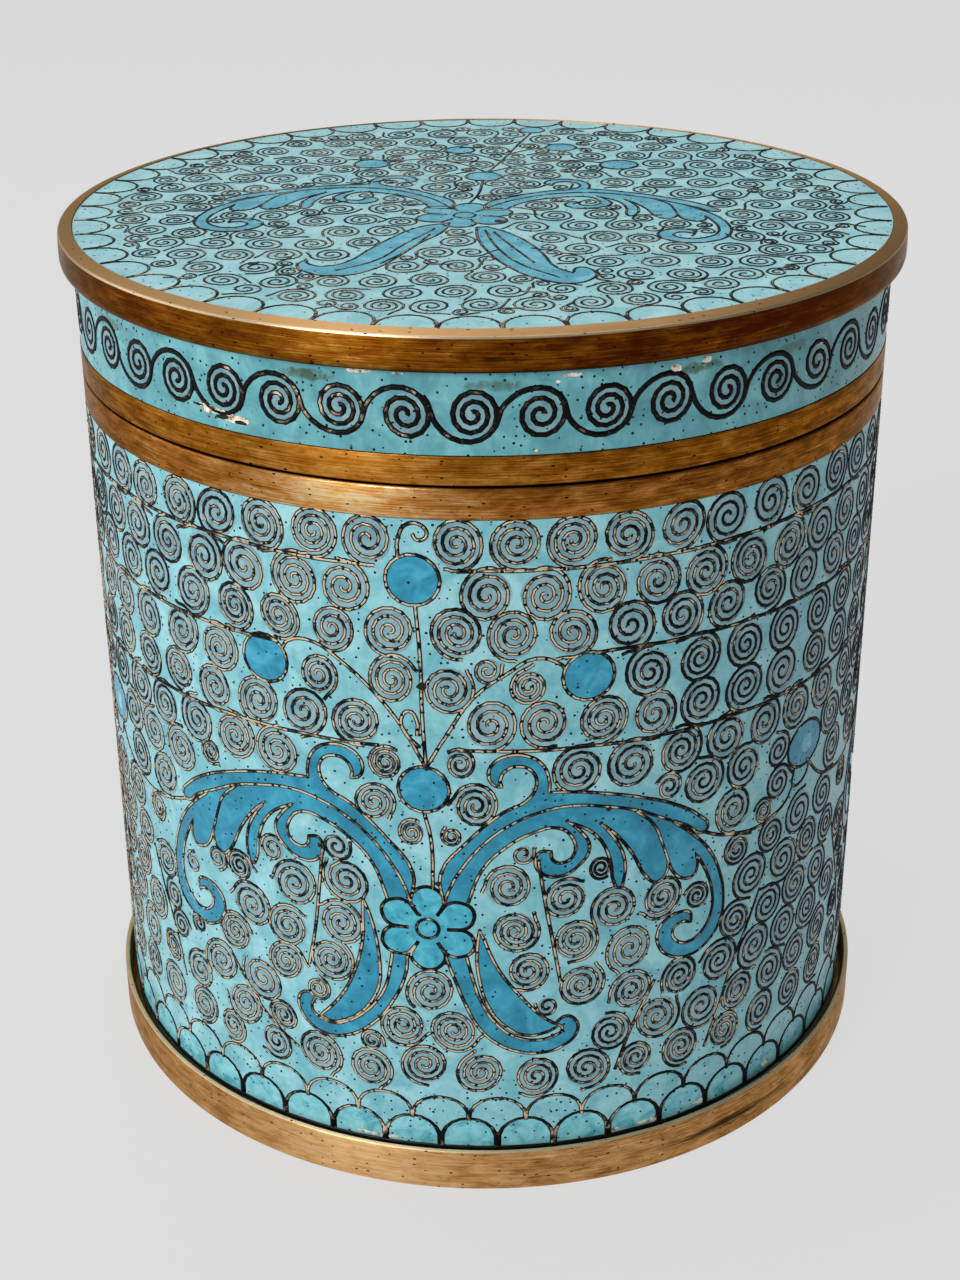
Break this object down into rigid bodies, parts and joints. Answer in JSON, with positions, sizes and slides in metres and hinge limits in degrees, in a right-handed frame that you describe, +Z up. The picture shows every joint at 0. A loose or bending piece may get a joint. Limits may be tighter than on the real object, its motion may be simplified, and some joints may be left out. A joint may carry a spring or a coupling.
{
  "type": "cloisonne lidded jar",
  "caption": "Round straight-sided cloisonne jar with a flat lift-off lid: wired enamel over copper, with a brass foot ring, mouth band and lid rims.",
  "frame": {"origin": "centre of the circle on which the foot ring stands, on the ground", "axes": "+Z up along the jar's axis, -Y towards the side that the picture shows"},
  "size_m": [0.12, 0.12, 0.1277],
  "materials": {
    "enamel": "fired and polished opaque enamel",
    "copper": "hammered and fired copper",
    "brass": "worn polished brass"
  },
  "bodies": {
    "root": {"jar_copper_vessel": "copper", "jar_enamel": "enamel", "underside_enamel": "enamel", "foot_ring": "brass", "mouth_rim": "brass", "lid_copper_shell": "copper", "lid_side_enamel": "enamel", "lid_top_enamel": "enamel", "lid_lower_band": "brass", "lid_top_rim": "brass"}
  },
  "joints": []
}
